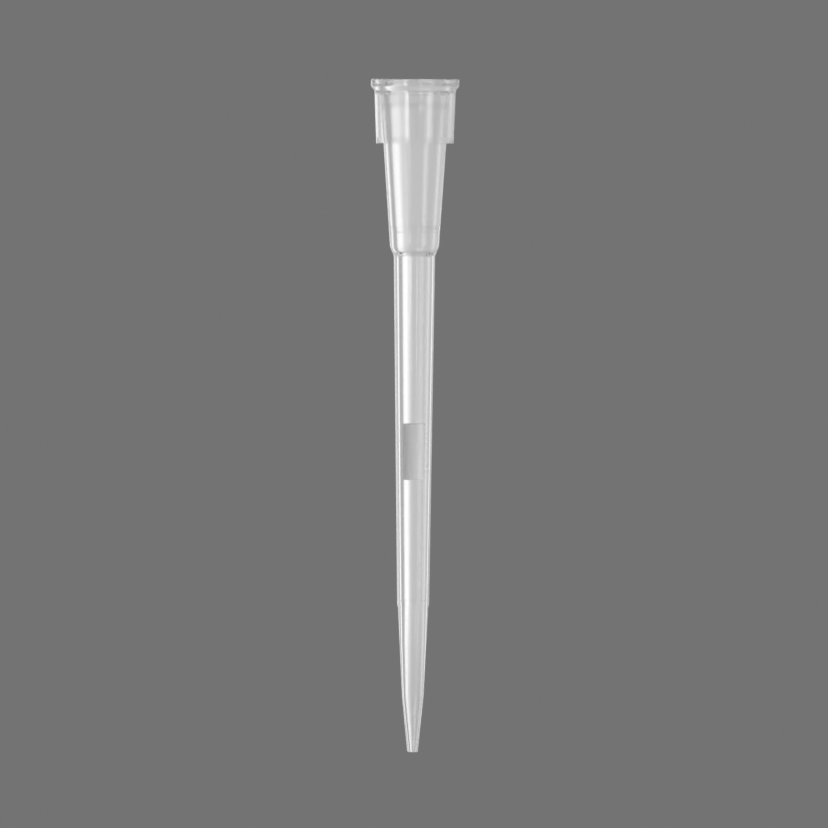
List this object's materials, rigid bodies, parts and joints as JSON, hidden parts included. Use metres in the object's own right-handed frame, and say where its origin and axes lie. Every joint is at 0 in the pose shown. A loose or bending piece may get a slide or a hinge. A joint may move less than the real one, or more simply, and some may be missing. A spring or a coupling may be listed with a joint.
{
  "type": "pipette tip",
  "caption": "Clear tapered filter tip for a small-volume pipette, with a flared rim, a skirted collar, a stepped slender shaft and a white porous plug in its bore.",
  "frame": {"origin": "centre of the rim's end face, which the tip stands on", "axes": "+Z along the tip's own axis from the rim's end face to the open point, straight up; +X and +Y are any two square directions across it, because the tip is round"},
  "size_m": [0.006, 0.006, 0.046],
  "materials": {
    "clear_polypropylene": "natural polypropylene, clear with a faint milky haze, smooth glossy moulded surface",
    "porous_polyethylene": "white sintered polyethylene, matt and finely granular"
  },
  "bodies": {
    "root": {"tip_body": "clear_polypropylene", "filter_plug": "porous_polyethylene"}
  },
  "joints": []
}
